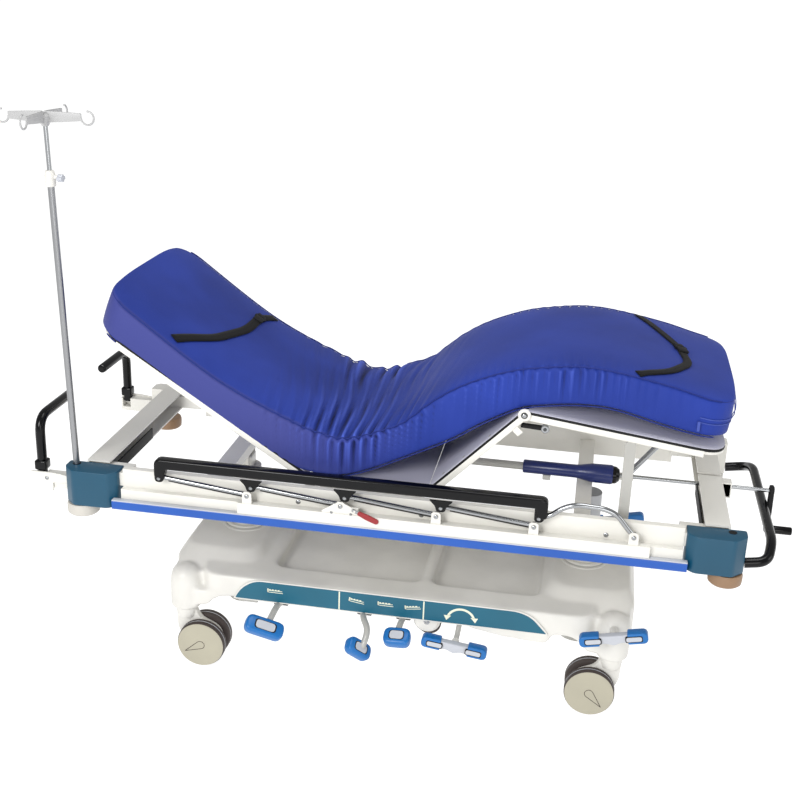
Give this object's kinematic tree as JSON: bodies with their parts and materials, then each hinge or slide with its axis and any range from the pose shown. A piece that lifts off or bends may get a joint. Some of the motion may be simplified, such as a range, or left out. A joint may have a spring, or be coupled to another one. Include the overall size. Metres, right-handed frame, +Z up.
{
  "type": "hydraulic stretcher trolley",
  "caption": "Hydraulic patient stretcher trolley with raised back and knee sections, folding side guards, swivel casters, pump pedals and an infusion pole.",
  "frame": {"origin": "on the floor under the middle of the trolley's bounding box", "axes": "+X from the head end to the foot end, -Y towards the side with the pump pedals, +Z up"},
  "size_m": [2.2724, 0.8714, 1.6778],
  "materials": {
    "white_paint": "satin",
    "white_plastic": "satin",
    "grey_paint": "satin",
    "dark_steel": "satin",
    "teal_plastic": "satin",
    "blue_plastic": "gloss",
    "strip_blue": "satin",
    "black_metal": "gloss",
    "stainless": "polished",
    "wheel_grey": "matte",
    "board_grey": "satin",
    "fabric": "woven",
    "red_plastic": "satin",
    "navy_plastic": "gloss"
  },
  "bodies": {
    "base": {"base_cover": "white_plastic", "base_chassis": "dark_steel"},
    "top_frame": {"top_frame": "white_paint", "corner_cover_head_near": "teal_plastic", "corner_cover_head_far": "white_paint", "corner_cover_foot_near": "teal_plastic", "corner_cover_foot_far": "white_paint", "bumper_strip_near": "strip_blue", "bumper_strip_far": "strip_blue", "foot_push_bar": "black_metal", "iv_pole_tube": "stainless", "mattress_seat": "fabric", "screw_housing": "navy_plastic"},
    "backrest": {"backrest_panel": "board_grey", "mattress_back": "fabric"},
    "thigh": {"thigh_panel": "board_grey", "mattress_thigh": "fabric"},
    "calf": {"calf_panel": "board_grey", "mattress_calf": "fabric"},
    "caster_fork_head_near": {"caster_fork_head_near": "white_plastic"},
    "caster_wheels_head_near": {"caster_wheels_head_near": "wheel_grey"},
    "caster_fork_head_far": {"caster_fork_head_far": "white_plastic"},
    "caster_wheels_head_far": {"caster_wheels_head_far": "wheel_grey"},
    "caster_fork_foot_near": {"caster_fork_foot_near": "white_plastic"},
    "caster_wheels_foot_near": {"caster_wheels_foot_near": "wheel_grey"},
    "caster_fork_foot_far": {"caster_fork_foot_far": "white_plastic"},
    "caster_wheels_foot_far": {"caster_wheels_foot_far": "wheel_grey"},
    "fifth_wheel": {"fifth_wheel": "wheel_grey"},
    "pedal_up": {"pedal_up": "blue_plastic"},
    "pedal_down_head": {"pedal_down_head": "blue_plastic"},
    "pedal_down_foot": {"pedal_down_foot": "blue_plastic"},
    "pedal_steer": {"pedal_steer": "blue_plastic"},
    "pedal_brake_near": {"pedal_brake_near": "blue_plastic"},
    "pedal_brake_far": {"pedal_brake_far": "blue_plastic"},
    "column_head": {"column_head": "white_paint"},
    "column_stage_foot": {"column_stage_foot": "white_paint"},
    "column_foot": {"column_foot": "stainless"},
    "head_handle_near": {"head_handle_near": "black_metal"},
    "head_handle_far": {"head_handle_far": "black_metal"},
    "iv_pole_hooks": {"iv_pole_hooks": "white_plastic"},
    "iv_pole_knob": {"iv_pole_knob": "white_plastic"},
    "backrest_strut_cylinder": {"backrest_strut_cylinder": "black_metal"},
    "backrest_strut_rod": {"backrest_strut_rod": "stainless"},
    "calf_prop": {"calf_prop": "grey_paint"},
    "knee_link": {"knee_link": "stainless"},
    "knee_crank": {"knee_crank": "black_metal"},
    "guard_bar_1_near": {"guard_bar_1_near": "stainless"},
    "guard_bar_2_near": {"guard_bar_2_near": "stainless"},
    "guard_bar_3_near": {"guard_bar_3_near": "stainless"},
    "guard_bar_4_near": {"guard_bar_4_near": "stainless"},
    "guard_bar_5_near": {"guard_bar_5_near": "stainless"},
    "guard_rail_near": {"guard_rail_near": "black_metal"},
    "guard_lever_near": {"guard_lever_near": "red_plastic"},
    "guard_bar_1_far": {"guard_bar_1_far": "stainless"},
    "guard_bar_2_far": {"guard_bar_2_far": "stainless"},
    "guard_bar_3_far": {"guard_bar_3_far": "stainless"},
    "guard_bar_4_far": {"guard_bar_4_far": "stainless"},
    "guard_bar_5_far": {"guard_bar_5_far": "stainless"},
    "guard_rail_far": {"guard_rail_far": "black_metal"},
    "guard_lever_far": {"guard_lever_far": "red_plastic"}
  },
  "joints": [
    {"name": "caster_swivel_head_near", "type": "hinge", "parent": "base", "child": "caster_fork_head_near", "pos_m": [-0.6828, -0.2613, 0.2], "axis": [0, 0, 1], "continuous": true},
    {"name": "caster_roll_head_near", "type": "hinge", "parent": "caster_fork_head_near", "child": "caster_wheels_head_near", "pos_m": [-0.6268, -0.2613, 0.075], "axis": [0, 1, 0], "continuous": true},
    {"name": "caster_swivel_head_far", "type": "hinge", "parent": "base", "child": "caster_fork_head_far", "pos_m": [-0.6828, 0.3187, 0.2], "axis": [0, 0, 1], "continuous": true},
    {"name": "caster_roll_head_far", "type": "hinge", "parent": "caster_fork_head_far", "child": "caster_wheels_head_far", "pos_m": [-0.6268, 0.3187, 0.075], "axis": [0, 1, 0], "continuous": true},
    {"name": "caster_swivel_foot_near", "type": "hinge", "parent": "base", "child": "caster_fork_foot_near", "pos_m": [0.6272, -0.2613, 0.2], "axis": [0, 0, 1], "continuous": true},
    {"name": "caster_roll_foot_near", "type": "hinge", "parent": "caster_fork_foot_near", "child": "caster_wheels_foot_near", "pos_m": [0.5712, -0.2613, 0.075], "axis": [0, 1, 0], "continuous": true},
    {"name": "caster_swivel_foot_far", "type": "hinge", "parent": "base", "child": "caster_fork_foot_far", "pos_m": [0.6272, 0.3187, 0.2], "axis": [0, 0, 1], "continuous": true},
    {"name": "caster_roll_foot_far", "type": "hinge", "parent": "caster_fork_foot_far", "child": "caster_wheels_foot_far", "pos_m": [0.5712, 0.3187, 0.075], "axis": [0, 1, 0], "continuous": true},
    {"name": "fifth_wheel_roll", "type": "hinge", "parent": "base", "child": "fifth_wheel", "pos_m": [0.0422, 0.0287, 0.054], "axis": [0, 1, 0], "continuous": true},
    {"name": "pedal_up_press", "type": "hinge", "parent": "base", "child": "pedal_up", "pos_m": [-0.3798, -0.2633, 0.232], "axis": [1, 0, 0], "range_deg": [0, 16], "stiffness_Nm_per_rad": 12, "springref_deg": -14.32},
    {"name": "pedal_down_head_press", "type": "hinge", "parent": "base", "child": "pedal_down_head", "pos_m": [-0.1198, -0.2633, 0.232], "axis": [1, 0, 0], "range_deg": [0, 15], "stiffness_Nm_per_rad": 12, "springref_deg": -14.32},
    {"name": "pedal_down_foot_press", "type": "hinge", "parent": "base", "child": "pedal_down_foot", "pos_m": [0.0002, -0.2633, 0.232], "axis": [1, 0, 0], "range_deg": [0, 16], "stiffness_Nm_per_rad": 12, "springref_deg": -14.32},
    {"name": "pedal_steer_rock", "type": "hinge", "parent": "base", "child": "pedal_steer", "pos_m": [0.1672, -0.3333, 0.208], "axis": [0, 1, 0], "range_deg": [-12, 12]},
    {"name": "pedal_brake_near_rock", "type": "hinge", "parent": "base", "child": "pedal_brake_near", "pos_m": [0.6222, -0.3433, 0.305], "axis": [0, 1, 0], "range_deg": [-4, 18]},
    {"name": "pedal_brake_far_rock", "type": "hinge", "parent": "base", "child": "pedal_brake_far", "pos_m": [0.6222, 0.4007, 0.305], "axis": [0, 1, 0], "range_deg": [-4, 18]},
    {"name": "lift", "type": "slide", "parent": "base", "child": "column_head", "axis": [0, 0, 1], "range_m": [0, 0.19]},
    {"name": "tilt", "type": "hinge", "parent": "column_head", "child": "top_frame", "pos_m": [-0.5778, 0.0287, 0.575], "axis": [0, -1, 0], "range_deg": [-3.5, 10]},
    {"name": "stage_lift", "type": "slide", "parent": "base", "child": "column_stage_foot", "axis": [0, 0, 1], "range_m": [-0.001, 0.191]},
    {"name": "column_foot_lift", "type": "slide", "parent": "column_stage_foot", "child": "column_foot", "axis": [0, 0, 1], "range_m": [-0.068, 0.193]},
    {"name": "head_handle_near_fold", "type": "hinge", "parent": "top_frame", "child": "head_handle_near", "pos_m": [-1.1068, -0.3013, 0.595], "axis": [1, 0, 0], "range_deg": [-85, 0]},
    {"name": "head_handle_far_fold", "type": "hinge", "parent": "top_frame", "child": "head_handle_far", "pos_m": [-1.1068, 0.3587, 0.595], "axis": [1, 0, 0], "range_deg": [0, 85]},
    {"name": "iv_pole_height", "type": "slide", "parent": "top_frame", "child": "iv_pole_hooks", "axis": [-0.0262, 0, 0.9997], "range_m": [-0.09, 0.38]},
    {"name": "iv_pole_knob_turn", "type": "hinge", "parent": "top_frame", "child": "iv_pole_knob", "pos_m": [-0.97987, -0.3163, 1.49756], "axis": [0.9997, 0, 0.0262], "range_deg": [0, 270]},
    {"name": "backrest_lift", "type": "hinge", "parent": "top_frame", "child": "backrest", "pos_m": [-0.2898, 0.0287, 0.672], "axis": [0, 1, 0], "range_deg": [-31, 40]},
    {"name": "backrest_strut_swing", "type": "hinge", "parent": "top_frame", "child": "backrest_strut_cylinder", "pos_m": [-0.3278, 0.1787, 0.545], "axis": [0, 1, 0], "range_deg": [-24, 31]},
    {"name": "backrest_strut_extend", "type": "slide", "parent": "backrest_strut_cylinder", "child": "backrest_strut_rod", "axis": [-0.6291, 0, 0.7773], "range_m": [-0.058, 0.074]},
    {"name": "thigh_lift", "type": "hinge", "parent": "top_frame", "child": "thigh", "pos_m": [0.0642, 0.0287, 0.672], "axis": [0, -1, 0], "range_deg": [-44, 0]},
    {"name": "knee_bend", "type": "hinge", "parent": "thigh", "child": "calf", "pos_m": [0.31636, 0.0287, 0.93312], "axis": [0, -1, 0], "range_deg": [-0.5, 51]},
    {"name": "calf_prop_swing", "type": "hinge", "parent": "calf", "child": "calf_prop", "pos_m": [0.6142, -0.2863, 0.866], "axis": [0, 1, 0], "range_deg": [-0.5, 93]},
    {"name": "knee_link_swing", "type": "hinge", "parent": "top_frame", "child": "knee_link", "pos_m": [0.6302, 0.0617, 0.63], "axis": [0, -1, 0], "range_deg": [-51, 0.5]},
    {"name": "knee_crank_turn", "type": "hinge", "parent": "top_frame", "child": "knee_crank", "pos_m": [0.9722, 0.0287, 0.64], "axis": [1, 0, 0], "continuous": true},
    {"name": "guard_lift_near", "type": "hinge", "parent": "top_frame", "child": "guard_bar_1_near", "pos_m": [-0.4538, -0.3563, 0.63], "axis": [0, 1, 0], "range_deg": [0, 84]},
    {"name": "guard_bar_2_swing_near", "type": "hinge", "parent": "top_frame", "child": "guard_bar_2_near", "pos_m": [-0.1788, -0.3563, 0.63], "axis": [0, 1, 0], "range_deg": [-0.5, 84.5]},
    {"name": "guard_bar_3_swing_near", "type": "hinge", "parent": "top_frame", "child": "guard_bar_3_near", "pos_m": [0.0962, -0.3563, 0.63], "axis": [0, 1, 0], "range_deg": [-0.5, 84.5]},
    {"name": "guard_bar_4_swing_near", "type": "hinge", "parent": "top_frame", "child": "guard_bar_4_near", "pos_m": [0.3712, -0.3563, 0.63], "axis": [0, 1, 0], "range_deg": [-0.5, 84.5]},
    {"name": "guard_bar_5_swing_near", "type": "hinge", "parent": "top_frame", "child": "guard_bar_5_near", "pos_m": [0.6462, -0.3563, 0.63], "axis": [0, 1, 0], "range_deg": [-0.5, 84.5]},
    {"name": "guard_rail_level_near", "type": "hinge", "parent": "guard_bar_1_near", "child": "guard_rail_near", "pos_m": [-0.7168, -0.3563, 0.658], "axis": [0, 1, 0], "range_deg": [-84.5, 0.5]},
    {"name": "guard_lever_near_pull", "type": "hinge", "parent": "top_frame", "child": "guard_lever_near", "pos_m": [-0.1358, -0.3748, 0.622], "axis": [0, 1, 0], "range_deg": [-20, 0], "stiffness_Nm_per_rad": 0.4, "springref_deg": 11.46},
    {"name": "guard_lift_far", "type": "hinge", "parent": "top_frame", "child": "guard_bar_1_far", "pos_m": [-0.4538, 0.4137, 0.63], "axis": [0, 1, 0], "range_deg": [0, 84]},
    {"name": "guard_bar_2_swing_far", "type": "hinge", "parent": "top_frame", "child": "guard_bar_2_far", "pos_m": [-0.1788, 0.4137, 0.63], "axis": [0, 1, 0], "range_deg": [-0.5, 84.5]},
    {"name": "guard_bar_3_swing_far", "type": "hinge", "parent": "top_frame", "child": "guard_bar_3_far", "pos_m": [0.0962, 0.4137, 0.63], "axis": [0, 1, 0], "range_deg": [-0.5, 84.5]},
    {"name": "guard_bar_4_swing_far", "type": "hinge", "parent": "top_frame", "child": "guard_bar_4_far", "pos_m": [0.3712, 0.4137, 0.63], "axis": [0, 1, 0], "range_deg": [-0.5, 84.5]},
    {"name": "guard_bar_5_swing_far", "type": "hinge", "parent": "top_frame", "child": "guard_bar_5_far", "pos_m": [0.6462, 0.4137, 0.63], "axis": [0, 1, 0], "range_deg": [-0.5, 84.5]},
    {"name": "guard_rail_level_far", "type": "hinge", "parent": "guard_bar_1_far", "child": "guard_rail_far", "pos_m": [-0.7168, 0.4137, 0.658], "axis": [0, 1, 0], "range_deg": [-84.5, 0.5]},
    {"name": "guard_lever_far_pull", "type": "hinge", "parent": "top_frame", "child": "guard_lever_far", "pos_m": [-0.1358, 0.4322, 0.622], "axis": [0, 1, 0], "range_deg": [-20, 0], "stiffness_Nm_per_rad": 0.4, "springref_deg": 11.46}
  ],
  "couplings": [
    {"joint": "pedal_brake_far_rock", "follows": "pedal_brake_near_rock", "ratio": 1},
    {"joint": "stage_lift", "follows": "lift", "ratio": 1},
    {"joint": "column_foot_lift", "follows": "tilt", "m_per_rad": 1.1},
    {"joint": "backrest_strut_swing", "follows": "backrest_lift", "ratio": 0.74},
    {"joint": "backrest_strut_extend", "follows": "backrest_lift", "m_per_rad": 0.103},
    {"joint": "knee_bend", "follows": "thigh_lift", "ratio": -1.152},
    {"joint": "calf_prop_swing", "follows": "thigh_lift", "ratio": -2.09},
    {"joint": "knee_link_swing", "follows": "thigh_lift", "ratio": 1.15},
    {"joint": "guard_bar_2_swing_near", "follows": "guard_lift_near", "ratio": 1},
    {"joint": "guard_bar_3_swing_near", "follows": "guard_lift_near", "ratio": 1},
    {"joint": "guard_bar_4_swing_near", "follows": "guard_lift_near", "ratio": 1},
    {"joint": "guard_bar_5_swing_near", "follows": "guard_lift_near", "ratio": 1},
    {"joint": "guard_rail_level_near", "follows": "guard_lift_near", "ratio": -1},
    {"joint": "guard_bar_2_swing_far", "follows": "guard_lift_far", "ratio": 1},
    {"joint": "guard_bar_3_swing_far", "follows": "guard_lift_far", "ratio": 1},
    {"joint": "guard_bar_4_swing_far", "follows": "guard_lift_far", "ratio": 1},
    {"joint": "guard_bar_5_swing_far", "follows": "guard_lift_far", "ratio": 1},
    {"joint": "guard_rail_level_far", "follows": "guard_lift_far", "ratio": -1}
  ]
}
